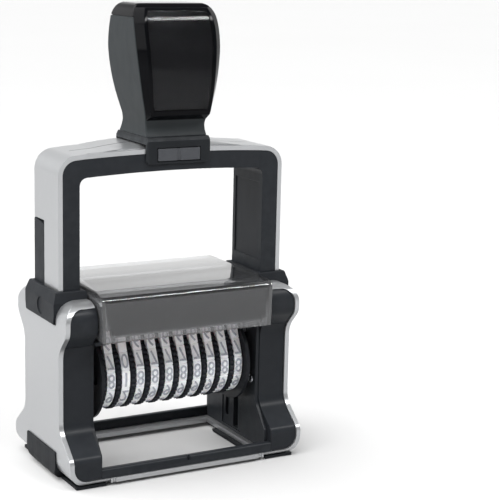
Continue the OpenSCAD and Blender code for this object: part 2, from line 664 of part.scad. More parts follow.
// ---- setting wheels ----
module wheel(i) color(black) difference() {
    union() {
        along_x(wheel_x(i) + disc_gap, wheel_x(i) + disc_gap + disc_t) translate([0, wheel_z])
            polygon([for (k = [0 : teeth - 1], t = [0, 0.25, 0.6, 0.85])
                let (a = (k + t) * 360 / teeth, r = t == 0 || t == 0.85 ? disc_r - 0.5 : disc_r)
                r * [cos(a), sin(a)]]);
        translate([0, 0, wheel_z]) rod_x(wheel_x(i) + disc_t, wheel_x(i) + pitch - disc_gap, belt_in - 0.1);
    }
    translate([0, 0, wheel_z]) rod_x(wheel_x(i) - 1, wheel_x(i) + pitch + 1, pin_r + fit);
}
module wheel_1() wheel(1);
module wheel_2() wheel(2);
module wheel_3() wheel(3);
module wheel_4() wheel(4);
module wheel_5() wheel(5);
module wheel_6() wheel(6);
module wheel_7() wheel(7);
module wheel_8() wheel(8);
module wheel_9() wheel(9);
module wheel_10() wheel(10);

// ---- number bands ----
// A band runs over the bridge, two bends, two straights and the lower part of its wheel.
bend = [face_half, pad_z - bend_r];
reach = bend - [0, wheel_z];
tilt = atan2(reach[1], reach[0]) - acos((band_r - bend_r) / norm(reach));   // normal of a straight
run_bend = bend_r * (90 - tilt) * PI / 180;
run_line = sqrt(pow(norm(reach), 2) - pow(band_r - bend_r, 2));
run_wheel = band_r * (90 + tilt) * PI / 180;
run_half = face_half + run_bend + run_line + run_wheel;
// point at a run s from the middle of the print face, e below the type
function band_at(s, e) =
    s > run_half ? band_at(s - 2 * run_half, e) :
    s < 0 ? let (p = band_at(-s, e)) [-p[0], p[1]] :
    s < face_half ? [s, pad_z - e] :
    s < face_half + run_bend ? let (a = 90 - (s - face_half) / bend_r * 180 / PI)
        bend + (bend_r - e) * [cos(a), sin(a)] :
    s < face_half + run_bend + run_line ?
        bend + (bend_r - e) * [cos(tilt), sin(tilt)] + (s - face_half - run_bend) * [sin(tilt), -cos(tilt)] :
    let (a = tilt - (s - face_half - run_bend - run_line) / band_r * 180 / PI)
        [0, wheel_z] + (band_r - e) * [cos(a), sin(a)];
step = 2 * run_half / characters;
rule_e = type_t + rule_t;
block = [[-0.5, rule_e], [-0.488, rule_e], [-0.474, type_t], [-0.25, type_t], [0, type_t],
    [0.25, type_t], [0.474, type_t], [0.488, rule_e]];       // one type block, in steps
module band(i) color(white)
    along_x(band_x(i), band_x(i) + band_w) difference() {
        polygon([for (k = [0 : characters - 1], b = block) band_at((k + b[0]) * step, b[1])]);
        polygon([for (k = [0 : 4 * characters - 1]) band_at((k + 0.5) * step / 4, band_t)]);
    }
module band_1() band(1);
module band_2() band(2);
module band_3() band(3);
module band_4() band(4);
module band_5() band(5);
module band_6() band(6);
module band_7() band(7);
module band_8() band(8);
module band_9() band(9);
module band_10() band(10);

left_shell();
right_shell();
front_sill();
rear_sill();
left_frame();
right_frame();
left_shoulders();
right_shoulders();
front_bar();
rear_bar();
left_cheek();
right_cheek();
left_collar();
right_collar();
left_foot();
right_foot();
left_pad_rail();
right_pad_rail();
pad_cover();
pad_tray();
ink_felt();
stirrup_core();
stirrup_skin();
left_leg_strip();
right_leg_strip();
saddle();
grip_body();
grip_front();
label_card();
label_window();
lock_button();
return_springs();
left_end_plate();
right_end_plate();
trunnions();
cam_pins();
wheel_axle();
print_bridge();
detent_comb();
wheel_1();
wheel_2();
wheel_3();
wheel_4();
wheel_5();
wheel_6();
wheel_7();
wheel_8();
wheel_9();
wheel_10();
band_1();
band_2();
band_3();
band_4();
band_5();
band_6();
band_7();
band_8();
band_9();
band_10();
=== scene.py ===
import math

import bmesh
import bpy
from mathutils import Matrix, Vector


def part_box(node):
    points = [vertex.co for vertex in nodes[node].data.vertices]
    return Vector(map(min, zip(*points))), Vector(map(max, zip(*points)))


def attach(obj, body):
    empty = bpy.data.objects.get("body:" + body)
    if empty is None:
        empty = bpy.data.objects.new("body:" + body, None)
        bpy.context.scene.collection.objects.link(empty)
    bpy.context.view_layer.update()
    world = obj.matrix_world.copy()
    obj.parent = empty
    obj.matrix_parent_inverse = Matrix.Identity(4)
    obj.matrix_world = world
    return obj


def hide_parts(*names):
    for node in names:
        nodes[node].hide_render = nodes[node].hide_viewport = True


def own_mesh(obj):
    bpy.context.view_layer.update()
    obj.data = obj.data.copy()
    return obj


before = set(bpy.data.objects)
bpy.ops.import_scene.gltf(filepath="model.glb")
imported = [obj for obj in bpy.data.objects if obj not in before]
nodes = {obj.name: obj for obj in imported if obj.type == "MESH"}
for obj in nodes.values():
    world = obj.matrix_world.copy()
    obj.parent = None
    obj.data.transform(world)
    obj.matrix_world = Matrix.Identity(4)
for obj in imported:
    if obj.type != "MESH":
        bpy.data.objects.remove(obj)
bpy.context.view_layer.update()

mm = 0.001
scene = bpy.context.scene
numbers = range(1, 11)                     # of the bands and their setting wheels

cameraSetup = {
    "yaw": 29.33,                          # degrees round from straight in front, towards -X
    "pitch": 11.6,                         # degrees, looking down
    "roll": 1.29,                          # degrees
    "lens": 106.78, "sensor": 36,          # mm
    "target": (32.88, 0, 64.8),            # mm
    "distance": 490.6,                     # mm
    "clip": (0.01, 50),                    # m
}


def placeCamera(setup):
    yaw, pitch, roll = (math.radians(setup[k]) for k in ("yaw", "pitch", "roll"))
    look = Vector((math.sin(yaw) * math.cos(pitch), math.cos(yaw) * math.cos(pitch), -math.sin(pitch)))
    right = Vector((math.cos(yaw), -math.sin(yaw), 0))
    up = right.cross(look)
    tiltedRight = right * math.cos(roll) + up * math.sin(roll)
    tiltedUp = up * math.cos(roll) - right * math.sin(roll)
    place = (Vector(setup["target"]) - look * setup["distance"]) * mm
    turn = Matrix((tiltedRight, tiltedUp, -look)).transposed().to_4x4()
    data = bpy.data.cameras.new("camera")
    data.lens, data.sensor_width = setup["lens"], setup["sensor"]
    data.clip_start, data.clip_end = setup["clip"]
    camera = bpy.data.objects.new("camera", data)
    camera.matrix_world = Matrix.Translation(place) @ turn
    scene.collection.objects.link(camera)
    scene.camera = camera


placeCamera(cameraSetup)
print("camera placed")


class Wiring:
    # adds nodes to one tree; an input goes by its name, or by i and its place, and is linked or set

    def __init__(self, tree):
        self.tree = tree

    def node(self, kind, settings=None, **inputs):
        made = self.tree.nodes.new(kind)
        for key, value in (settings or {}).items():
            setattr(made, key, value)
        for key, value in inputs.items():
            socket = made.inputs[int(key[1:]) if key[1:].isdigit() else key.replace("_", " ")]
            if isinstance(value, bpy.types.NodeSocket):
                self.tree.links.new(value, socket)
            else:
                socket.default_value = value
        return made

    def maths(self, operation, first, *second):
        values = {f"i{k}": value for k, value in enumerate((first, *second))}
        return self.node("ShaderNodeMath", {"operation": operation}, **values).outputs[0]

    def vectors(self, operation, **values):
        return self.node("ShaderNodeVectorMath", {"operation": operation}, **values).outputs[0]

    def parts(self, vector):
        return self.node("ShaderNodeSeparateXYZ", i0=vector).outputs


noiseMiddle = (0.3, 0.7)                   # where nearly all of a noise lies


class Finish(Wiring):
    # one material with a Principled shader, and short ways to build its patterns

    def __init__(self, name, **sockets):
        self.material = bpy.data.materials.new(name)
        self.material.use_nodes = True
        super().__init__(self.material.node_tree)
        self.shader = self.tree.nodes["Principled BSDF"]
        for socket, value in sockets.items():
            self.shader.inputs[socket.replace("_", " ")].default_value = value
        self.place = self.node("ShaderNodeTexCoord").outputs["Object"]

    def stretched(self, scale):
        return self.node("ShaderNodeMapping", Vector=self.place, Scale=scale).outputs[0]

    def noise(self, size, detail, roughness=0.5, place=None):
        return self.node("ShaderNodeTexNoise", Vector=place or self.place, Scale=1 / size,
                         Detail=detail, Roughness=roughness).outputs["Fac"]

    def span(self, value, low, high, outLow=0, outHigh=1):
        return self.node("ShaderNodeMapRange", Value=value, From_Min=low, From_Max=high,
                         To_Min=outLow, To_Max=outHigh).outputs[0]

    def spread(self, noise, low=0, high=1):
        # the middle of a noise drawn out between two values
        return self.span(noise, *noiseMiddle, low, high)

    def opposite(self, share):
        return self.span(share, 0, 1, 1, 0)

    def times(self, a, b):
        return self.maths("MULTIPLY", a, b)

    def plus(self, a, b):
        return self.maths("ADD", a, b)

    def blend(self, share, first, second):
        # the Mix node's colours are its inputs 6 and 7 and its output 2
        first, second = (c if isinstance(c, bpy.types.NodeSocket) else (*c, 1) for c in (first, second))
        return self.node("ShaderNodeMix", {"data_type": "RGBA"}, i0=share, i6=first, i7=second).outputs[2]

    def bump(self, height, distance, strength):
        return self.node("ShaderNodeBump", Height=height, Distance=distance, Strength=strength).outputs[0]

    def wire(self, **sockets):
        for key, value in sockets.items():
            self.tree.links.new(value, self.shader.inputs[key.replace("_", " ")])
        return self.material


# in all looks gloss is a range of roughness, depth and relief are the distance and strength of the bump,
# a size is that of a noise, and a name that ends in From is the part of a noise over which a change runs
silverLook = {
    "colour": (0.424, 0.432, 0.442), "shade": (0.408, 0.416, 0.426), "speck": (0.45, 0.458, 0.467),
    "cloud": 26 * mm, "grain": 1.4 * mm,
    "specks": 0.3, "speckFrom": (0.5, 0.8),   # specks is the largest share of their colour
    "metal": 0.8, "gloss": (0.285, 0.31),
}


def satinSilver(look):
    f = Finish("satinSilver", Metallic=look["metal"])
    cloud = f.noise(look["cloud"], detail=3)
    grain = f.noise(look["grain"], detail=2)
    colour = f.blend(f.spread(cloud), look["shade"], look["colour"])
    specks = f.span(grain, *look["speckFrom"], 0, look["specks"])
    colour = f.blend(specks, colour, look["speck"])
    return f.wire(Base_Color=colour, Roughness=f.spread(cloud, *look["gloss"]))


frameLook = {
    "colour": (0.0135, 0.0152, 0.0182), "shade": (0.016, 0.018, 0.021), "worn": (0.045, 0.049, 0.053),
    "wear": 0.3,                           # share of the worn colour on rubbed edges
    "rubbed": (0.515, 0.58),               # pointiness at which an edge begins to be rubbed, and is
    "rub": 2.5 * mm, "rubFrom": (0.35, 0.65),
    "rubLeast": 0.25,                      # share of the rubbing where it is least
    "cloud": 9 * mm, "smear": 3 * mm,
    "smearRun": (1, 1, 0.35),              # drawn out upwards
    "grain": 0.22 * mm, "depth": 0.006 * mm, "relief": 0.8,
    "specular": 0.1, "gloss": (0.31, 0.37),
    "dull": 0.03,                          # roughness that the grain adds or takes
}
sideLook = {**frameLook, "colour": (0.0112, 0.0126, 0.015), "shade": (0.0132, 0.0148, 0.0174),
            "gloss": (0.46, 0.56)}
stirrupLook = {**frameLook, "gloss": (0.32, 0.42), "grain": 0.18 * mm, "depth": 0.007 * mm}
unitLook = {**frameLook, "colour": (0.008, 0.009, 0.011), "shade": (0.012, 0.013, 0.016),
            "gloss": (0.31, 0.4), "grain": 0.3 * mm, "depth": 0.008 * mm}
wheelLook = {**frameLook, "colour": (0.011, 0.0125, 0.0165), "shade": (0.017, 0.019, 0.024),
             "gloss": (0.36, 0.5)}
trayLook = {**frameLook, "colour": (0.035, 0.036, 0.039), "shade": (0.045, 0.046, 0.05),
            "gloss": (0.35, 0.5)}
footLook = {**frameLook, "colour": (0.0075, 0.0084, 0.01), "shade": (0.009, 0.01, 0.0118),
            "gloss": (0.5, 0.62), "grain": 0.4 * mm, "depth": 0.02 * mm}
glossLook = {**frameLook, "colour": (0.002, 0.0022, 0.0028), "shade": (0.0025, 0.0028, 0.0036),
             "wear": 0.0, "specular": 0.06, "gloss": (0.07, 0.11), "grain": 1.2 * mm, "depth": 0.0012 * mm}
gripLook = {
    **frameLook, "colour": (0.024, 0.0275, 0.0295), "shade": (0.027, 0.031, 0.033),
    "worn": (0.07, 0.075, 0.08), "gloss": (0.42, 0.52), "grain": 0.14 * mm,
    "capShare": 0.9,                       # share of the height above which the grip is polished
    "capEdge": 0.02 * mm,                  # half of the change between the two
    "capRelief": 0.05,                     # share of the grain that is left on the polished cap
}
saddleLook = {**gripLook, "colour": (0.011, 0.0125, 0.0145), "shade": (0.0135, 0.0152, 0.0172)}
buttonLook = {**gripLook, "colour": (0.05, 0.052, 0.058), "shade": (0.062, 0.065, 0.072)}


def plasticPatterns(f, look):
    # grain, smears, colour with rubbed edges and roughness of a moulded plastic
    grain = f.noise(look["grain"], detail=3, roughness=0.6)
    smear = f.noise(look["smear"], detail=5, roughness=0.6, place=f.stretched(look["smearRun"]))
    cloud = f.noise(look["cloud"], detail=4, roughness=0.55)
    colour = f.blend(f.spread(cloud), look["colour"], look["shade"])
    sharp = f.span(f.node("ShaderNodeNewGeometry").outputs["Pointiness"], *look["rubbed"])
    patchy = f.span(f.noise(look["rub"], detail=3), *look["rubFrom"], look["rubLeast"], 1)
    rubbed = f.times(sharp, patchy)
    colour = f.blend(f.times(rubbed, look["wear"]), colour, look["worn"])
    rough = f.plus(f.spread(smear, *look["gloss"]), f.spread(grain, -look["dull"], look["dull"]))
    return grain, smear, colour, rough


def mouldedPlastic(name, look):
    f = Finish(name, Specular_IOR_Level=look["specular"])
    grain, smear, colour, rough = plasticPatterns(f, look)
    return f.wire(Base_Color=colour, Roughness=rough, Normal=f.bump(grain, look["depth"], look["relief"]))


def cappedGrip(look, cap):
    # soft grip with a polished top
    low, high = (corner.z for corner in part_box("grip_body"))
    f = Finish("softGrip", Specular_IOR_Level=look["specular"])
    grain, smear, colour, soft = plasticPatterns(f, look)
    above = low + (high - low) * look["capShare"]
    capped = f.span(f.parts(f.place)["Z"], above - look["capEdge"], above + look["capEdge"])
    hard = f.spread(smear, *cap["gloss"])
    rough = f.plus(f.times(soft, f.opposite(capped)), f.times(hard, capped))
    relief = f.times(grain, f.span(capped, 0, 1, 1, look["capRelief"]))
    return f.wire(Base_Color=f.blend(capped, colour, cap["colour"]), Roughness=rough,
                  Normal=f.bump(relief, look["depth"], look["relief"]))


smokeLook = {
    "colour": (0.49, 0.497, 0.512), "lighter": 1.04,
    "clear": 0.975, "paintedLightHaze": 0.88,          # transmission of the flat front, and of the thick borders, which are made less clear so that they read lighter: painted light standing in for the light that comes through the thick walls
    "sideBorder": 3.2,                     # mm, width of the borders at the sides
    "sideEdge": (-0.1, 0.3),               # mm over which they begin
    "slant": 0.16,                         # of the sides, in X for each unit of Z
    "footBorder": (2.5, 2.1),              # mm above the lower rim where its border begins and is full
    "topFlat": (2.6, 1.2),                 # mm below the top where the polished top begins and is full
    "cloud": 11 * mm, "wave": 7 * mm, "depth": 0.01 * mm, "relief": 0.4,
    "scratch": 0.5 * mm, "scratchFrom": (0.6, 0.75),
    "scratchRun": (1, 0.06, 1),            # drawn out towards the rear
    "scratched": 0.05,                     # roughness that a scratch adds
    "gloss": (0.02, 0.05), "coat": 0.02, "ior": 1.5,
}


def smokePlastic(look):
    # clear smoke grey; its thick borders are made hazier than the flat of the front so that they read
    # lighter, which is painted light standing in for the light that comes through the thick walls
    low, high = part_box("pad_cover")
    f = Finish("smokePlastic", IOR=look["ior"], Coat_Roughness=look["coat"])
    parts = f.parts(f.place)
    aside = f.plus(f.maths("ABSOLUTE", parts["X"]), f.times(parts["Z"], -look["slant"]))
    edge = high.x - look["sideBorder"] * mm - look["slant"] * low.z
    sides = f.span(aside, *(edge + step * mm for step in look["sideEdge"]))
    foot = f.span(parts["Z"], *(low.z + step * mm for step in look["footBorder"]))
    flat = f.span(parts["Z"], *(high.z - step * mm for step in look["topFlat"]))
    # painted light: where the borders are made hazier so that they read lighter
    paintedLightBorder = f.times(f.maths("MAXIMUM", sides, foot), f.opposite(flat))
    cloud = f.noise(look["cloud"], detail=4)
    colour = f.blend(f.spread(cloud), look["colour"], [c * look["lighter"] for c in look["colour"]])
    scratch = f.noise(look["scratch"], detail=3, roughness=0.6, place=f.stretched(look["scratchRun"]))
    scratched = f.span(scratch, *look["scratchFrom"], 0, look["scratched"])
    rough = f.plus(f.spread(cloud, *look["gloss"]), scratched)
    return f.wire(Base_Color=colour, Roughness=rough,
                  Transmission_Weight=f.span(paintedLightBorder, 0, 1, look["clear"], look["paintedLightHaze"]), Coat_Weight=flat,
                  Normal=f.bump(f.noise(look["wave"], detail=2), look["depth"], look["relief"]))


bandLook = {
    "colour": (0.93, 0.938, 0.95), "dust": (0.72, 0.74, 0.775),
    "dusty": 0.6, "dustFrom": (0.48, 0.72),   # dusty is the largest share of the dust colour
    "smear": 2.2 * mm, "pit": 0.5 * mm, "depth": 0.02 * mm, "relief": 0.7,
    "specular": 0.35, "gloss": (0.5, 0.68),
    "soft": 0.08, "softDepth": 1 * mm,     # light that enters the rubber
}


def paleRubber(look):
    f = Finish("paleRubber", Specular_IOR_Level=look["specular"],
               Subsurface_Weight=look["soft"], Subsurface_Scale=look["softDepth"])
    smear = f.noise(look["smear"], detail=5, roughness=0.65)
    dust = f.span(smear, *look["dustFrom"], 0, look["dusty"])
    pits = f.noise(look["pit"], detail=4)
    return f.wire(Base_Color=f.blend(dust, look["colour"], look["dust"]),
                  Roughness=f.spread(pits, *look["gloss"]),
                  Normal=f.bump(pits, look["depth"], look["relief"]))


# painted shade: the type is the same pale rubber as the band, and its grey colour stands in for the shading
# on the raised digits; the darker smears on it are ink
typeLook = {
    "colour": (0.46, 0.48, 0.525), "ink": (0.30, 0.315, 0.36),
    "smear": 1.1 * mm, "inkFrom": (0.4, 0.66),
    "grain": 0.3 * mm, "depth": 0.01 * mm, "relief": 0.6,
    "specular": 0.4, "gloss": (0.4, 0.6),
}


def typeRubber(look):
    f = Finish("typeRubber", Specular_IOR_Level=look["specular"])
    smear = f.noise(look["smear"], detail=4, roughness=0.6)
    # painted shade: the grey of the digits, with darker ink smears
    return f.wire(Base_Color=f.blend(f.span(smear, *look["inkFrom"]), look["colour"], look["ink"]),
                  Roughness=f.spread(smear, *look["gloss"]),
                  Normal=f.bump(f.noise(look["grain"], detail=3), look["depth"], look["relief"]))


steelLook = {
    "colour": (0.42, 0.43, 0.45), "stain": (0.3, 0.31, 0.33), "stainSize": 5 * mm, "stainFrom": (0.35, 0.7),
    "ring": 0.12 * mm, "ringRun": (1, 0.05, 0.05),   # marks of the lathe, round the X axis
    "depth": 0.004 * mm, "relief": 0.6, "gloss": (0.2, 0.36),
}


def turnedSteel(look):
    f = Finish("turnedSteel", Metallic=1.0)
    rings = f.noise(look["ring"], detail=2, place=f.stretched(look["ringRun"]))
    stain = f.span(f.noise(look["stainSize"], detail=4), *look["stainFrom"])
    return f.wire(Base_Color=f.blend(stain, look["colour"], look["stain"]),
                  Roughness=f.spread(rings, *look["gloss"]),
                  Normal=f.bump(rings, look["depth"], look["relief"]))


wireLook = {
    "colour": (0.5, 0.51, 0.54), "stain": (0.32, 0.32, 0.34), "stainSize": 3 * mm, "stainFrom": (0.35, 0.7),
    "grain": 0.1 * mm, "depth": 0.003 * mm, "relief": 0.5, "gloss": (0.25, 0.42),
}


def drawnWire(look):
    f = Finish("drawnWire", Metallic=1.0)
    stain = f.noise(look["stainSize"], detail=4)
    return f.wire(Base_Color=f.blend(f.span(stain, *look["stainFrom"]), look["colour"], look["stain"]),
                  Roughness=f.spread(stain, *look["gloss"]),
                  Normal=f.bump(f.noise(look["grain"], detail=2), look["depth"], look["relief"]))


feltLook = {
    "colour": (0.30, 0.012, 0.02), "wet": (0.42, 0.03, 0.035), "hair": (0.16, 0.006, 0.012),
    "wetSize": 6 * mm, "wetFrom": (0.35, 0.65),
    "hairSize": 0.35 * mm, "hairFrom": (0.45, 0.75), "hairRun": (1, 2.2, 1),
    "hairy": 0.5,                          # largest share of the hair colour
    "depth": 0.15 * mm, "relief": 0.9, "specular": 0.2, "sheen": 0.3, "gloss": (0.55, 0.85),
}


def soakedFelt(look):
    f = Finish("soakedFelt", Specular_IOR_Level=look["specular"], Sheen_Weight=look["sheen"])
    hairs = f.noise(look["hairSize"], detail=6, roughness=0.75, place=f.stretched(look["hairRun"]))
    wet = f.noise(look["wetSize"], detail=3)
    colour = f.blend(f.span(wet, *look["wetFrom"]), look["colour"], look["wet"])
    colour = f.blend(f.span(hairs, *look["hairFrom"], 0, look["hairy"]), colour, look["hair"])
    return f.wire(Base_Color=colour, Roughness=f.spread(wet, *look["gloss"]),
                  Normal=f.bump(hairs, look["depth"], look["relief"]))


cardLook = {
    "colour": (0.002, 0.0022, 0.003), "fibre": (0.004, 0.0044, 0.0055),
    "fibreSize": 0.25 * mm, "fibreFrom": (0.35, 0.7), "fibreRun": (1, 1, 0.4),
    "depth": 0.01 * mm, "relief": 0.6, "specular": 0.1, "gloss": (0.5, 0.7),
}


def darkCard(look):
    f = Finish("darkCard", Specular_IOR_Level=look["specular"])
    fibre = f.noise(look["fibreSize"], detail=5, roughness=0.7, place=f.stretched(look["fibreRun"]))
    return f.wire(Base_Color=f.blend(f.span(fibre, *look["fibreFrom"]), look["colour"], look["fibre"]),
                  Roughness=f.spread(fibre, *look["gloss"]),
                  Normal=f.bump(fibre, look["depth"], look["relief"]))


windowLook = {
    "colour": (0.86, 0.87, 0.89), "clean": (0.93, 0.94, 0.95), "film": 8 * mm,
    "ior": 1.18, "gloss": (0.02, 0.06),
}


def clearWindow(look):
    f = Finish("clearWindow", Transmission_Weight=1.0, IOR=look["ior"])
    film = f.noise(look["film"], detail=3)
    return f.wire(Base_Color=f.blend(f.spread(film), look["colour"], look["clean"]),
                  Roughness=f.spread(film, *look["gloss"]))


plastics = {
    "frameBlack": frameLook, "stirrupBlack": stirrupLook, "sideBlack": sideLook, "unitBlack": unitLook,
    "wheelBlack": wheelLook, "trayBlack": trayLook, "softSaddle": saddleLook, "glossBlack": glossLook,
    "footRubber": footLook, "buttonGrey": buttonLook,
}
finishes = {
    **{name: mouldedPlastic(name, look) for name, look in plastics.items()},
    "silver": satinSilver(silverLook),
    "softGrip": cappedGrip(gripLook, glossLook),
    "smoke": smokePlastic(smokeLook),
    "bandRubber": paleRubber(bandLook),
    "typeRubber": typeRubber(typeLook),
    "steel": turnedSteel(steelLook),
    "wire": drawnWire(wireLook),
    "felt": soakedFelt(feltLook),
    "card": darkCard(cardLook),
    "window": clearWindow(windowLook),
}
print("finishes made:", len(finishes))


class Shaping(Wiring):
    # a Geometry Nodes tree; sizes gives the kind of each named input

    def __init__(self, name, **sizes):
        super().__init__(bpy.data.node_groups.new(name, "GeometryNodeTree"))
        face = self.tree.interface
        for key, kind in {"Geometry": "Geometry", **sizes}.items():
            face.new_socket(key, in_out="INPUT", socket_type=f"NodeSocket{kind}")
        face.new_socket("Geometry", in_out="OUTPUT", socket_type="NodeSocketGeometry")
        self.given = self.node("NodeGroupInput").outputs

    def ended(self, geometry):
        self.node("NodeGroupOutput", i0=geometry)
        return self.tree

    def painted(self, geometry, finish):
        # ends the tree with real geometry that carries its finish
        real = self.node("GeometryNodeRealizeInstances", i0=geometry).outputs[0]
        paint = self.node("GeometryNodeSetMaterial", Geometry=real, Material=finishes[finish])
        return self.ended(paint.outputs[0])


def setInputs(modifier, values):
    for item in modifier.node_group.interface.items_tree:
        if item.in_out == "INPUT" and item.name in values:
            modifier[item.identifier] = values[item.name]


edgeSet = {
    "angle": 32,                           # degrees above which an edge is rounded, or left sharp
    "segments": 2,
    "level": 0.8,                          # degrees of turn up to which faces become one
    "fineLevel": 0.1,                      # the same for bodies with very shallow facets
    "merge": 0.0005,                       # mm, gap between corners that is closed
    "stepMerge": 0.055,                    # mm, the same for bodies with very low steps
}


def shadingTree():
    # smooth faces, with edges that turn by more than an angle left sharp
    t = Shaping("shadeByAngle", Angle="Float")
    bare = t.node("GeometryNodeRemoveAttribute", Geometry=t.given["Geometry"], Name="custom_normal")
    faces = t.node("GeometryNodeSetShadeSmooth", Geometry=bare.outputs[0])
    turn = t.node("GeometryNodeInputMeshEdgeAngle").outputs["Unsigned Angle"]
    flat = t.node("FunctionNodeCompare", {"data_type": "FLOAT", "operation": "LESS_THAN"},
                  A=turn, B=t.given["Angle"])
    edges = t.node("GeometryNodeSetShadeSmooth", {"domain": "EDGE"}, Geometry=faces.outputs[0],
                   Shade_Smooth=flat.outputs[0])
    return t.ended(edges.outputs[0])


shadeByAngle = shadingTree()


def dress(names, finish, edge=0.0, level=edgeSet["level"], merge=edgeSet["merge"]):
    # gives CAD nodes their finish and, where edge is set, moulded edges of that radius in mm
    for name in names:
        piece = nodes[name]
        piece.data.materials.clear()
        piece.data.materials.append(finishes[finish])
        weld = piece.modifiers.new("weld", "WELD")
        weld.merge_threshold = merge * mm
        if edge:
            flat = piece.modifiers.new("flat", "DECIMATE")
            flat.decimate_type = "DISSOLVE"
            flat.angle_limit = math.radians(level)
            bevel = piece.modifiers.new("edges", "BEVEL")
            bevel.width = edge * mm
            bevel.segments = edgeSet["segments"]
            bevel.limit_method = "ANGLE"
            bevel.angle_limit = math.radians(edgeSet["angle"])
            bevel.use_clamp_overlap = False
        shade = piece.modifiers.new("shade", "NODES")
        shade.node_group = shadeByAngle
        setInputs(shade, {"Angle": math.radians(edgeSet["angle"])})
        if edge:
            even = piece.modifiers.new("even", "WEIGHTED_NORMAL")
            even.keep_sharp = True


stepped = {"merge": edgeSet["stepMerge"]}
shallow = {**stepped, "level": edgeSet["fineLevel"]}
dress(["left_shell", "right_shell"], "silver", edge=0.08, **stepped)
dress(["front_sill", "rear_sill"], "silver", edge=0.15)
dress(["stirrup_skin"], "silver", edge=0.04, **stepped)
dress(["left_frame", "right_frame"], "frameBlack", edge=0.08)
dress(["left_shoulders", "right_shoulders"], "frameBlack", edge=0.15)
dress(["front_bar", "rear_bar"], "frameBlack", edge=0.04)
dress(["left_cheek", "right_cheek", "left_pad_rail", "right_pad_rail"], "frameBlack", edge=0.08)
dress(["left_collar", "right_collar"], "sideBlack", edge=0.06, **shallow)
dress(["left_foot", "right_foot"], "footRubber", edge=0.06, **shallow)
dress(["pad_cover"], "smoke", edge=0.08, **stepped)
dress(["pad_tray"], "trayBlack", edge=0.15)
dress(["ink_felt"], "felt")
dress(["stirrup_core"], "stirrupBlack", edge=0.12)
dress(["left_leg_strip", "right_leg_strip"], "sideBlack", edge=0.2)
dress(["saddle"], "softSaddle", edge=0.06, **stepped)
dress(["grip_body"], "softGrip", edge=0.15)
dress(["grip_front"], "glossBlack", edge=0.15)
dress(["label_card"], "card")
dress(["label_window"], "window")
dress(["lock_button"], "buttonGrey", edge=0.15)
dress(["left_end_plate", "right_end_plate", "print_bridge"], "unitBlack", edge=0.12)
dress(["trunnions", "cam_pins", "wheel_axle", "detent_comb"], "steel", edge=0.08)
dress([f"wheel_{i}" for i in numbers], "wheelBlack", edge=0.08)
dress([f"band_{i}" for i in numbers], "bandRubber", edge=0.1)
dress(["return_springs"], "wire")
print("CAD nodes dressed")


def shown(name, mesh):
    held = bpy.data.objects.new(name, mesh)
    scene.collection.objects.link(held)
    return held


def evaluatedMesh(held):
    bpy.context.view_layer.update()
    return bpy.data.meshes.new_from_object(held.evaluated_get(bpy.context.evaluated_depsgraph_get()))


def meshOf(work, name):
    mesh = bpy.data.meshes.new(name)
    work.to_mesh(mesh)
    work.free()
    return mesh


def faceOutwards(mesh):
    work = bmesh.new()
    work.from_mesh(mesh)
    bmesh.ops.recalc_face_normals(work, faces=work.faces)
    work.to_mesh(mesh)
    work.free()


bandPath = {
    "faceHalf": 2.9,                       # half of the flat print face, mm
    "bendRadius": 2.65,                    # radius of the two bends beside it, mm
    "blocks": 14,                          # type blocks on one band
    "points": 280,                         # points on the path
}
typeSet = {
    "digits": "0123456789-./ ",
    "height": 4.5,                         # mm, along the band
    "fontShare": 0.69,                     # share of the font's size that its figures stand high
    "width": 0.78,                         # share of the font's own width
    "rise": 0.24,                          # mm above the block
    "sink": 0.2,                           # mm inside the block
    "cut": 0.9,                            # mm between the cuts that let a digit follow the curve
    "join": 0.001, "weld": 0.0005,         # mm, gaps closed in the flat strip and in the raised one
    "turns": (4, 11, 4, 4, 4, 4, 4, 4, 4, 4),   # blocks by which each band is turned on
}


def bandSide():
    # half of a band's outer side in the YZ plane, as a function of the run in mm, and its length;
    # from the middle of the print face it has a flat, a bend, a straight and the arc round the wheel
    half, bend = bandPath["faceHalf"], bandPath["bendRadius"]
    wheelLow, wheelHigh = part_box("wheel_1")
    bandLow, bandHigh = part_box("band_1")
    wheelZ = (wheelLow.z + wheelHigh.z) / 2 / mm
    faceZ = bandHigh.z / mm
    arcR = wheelZ - bandLow.z / mm
    centre = Vector((half, faceZ - bend))
    reach = centre - Vector((0, wheelZ))
    tilt = math.atan2(reach.y, reach.x) - math.acos((arcR - bend) / reach.length)
    out = Vector((math.cos(tilt), math.sin(tilt)))
    bendRun = bend * (math.pi / 2 - tilt)
    line = math.sqrt(reach.length ** 2 - (arcR - bend) ** 2)

    def spot(run):
        if run < half:
            return Vector((run, faceZ))
        if run < half + bendRun:
            a = math.pi / 2 - (run - half) / bend
            return centre + bend * Vector((math.cos(a), math.sin(a)))
        if run < half + bendRun + line:
            return centre + bend * out + (run - half - bendRun) * Vector((out.y, -out.x))
        a = tilt - (run - half - bendRun - line) / arcR
        return Vector((0, wheelZ)) + arcR * Vector((math.cos(a), math.sin(a)))

    return spot, half + bendRun + line + arcR * (math.pi / 2 + tilt)


def bandCurve():
    # the whole loop of a band as a curve, and its length in mm
    spot, half = bandSide()
    curve = bpy.data.curves.new("bandCurve", "CURVE")
    curve.dimensions = "3D"
    spline = curve.splines.new("POLY")
    count = bandPath["points"]
    spline.points.add(count - 1)
    for k in range(count):
        run = 2 * half * k / count
        side = -1 if run < half else 1       # from the print face towards the front first
        p = spot(min(run, 2 * half - run))
        spline.points[k].co = (0, side * p.x * mm, p.y * mm, 1)
    spline.use_cyclic_u = True
    return shown("bandCurve", curve), 2 * half


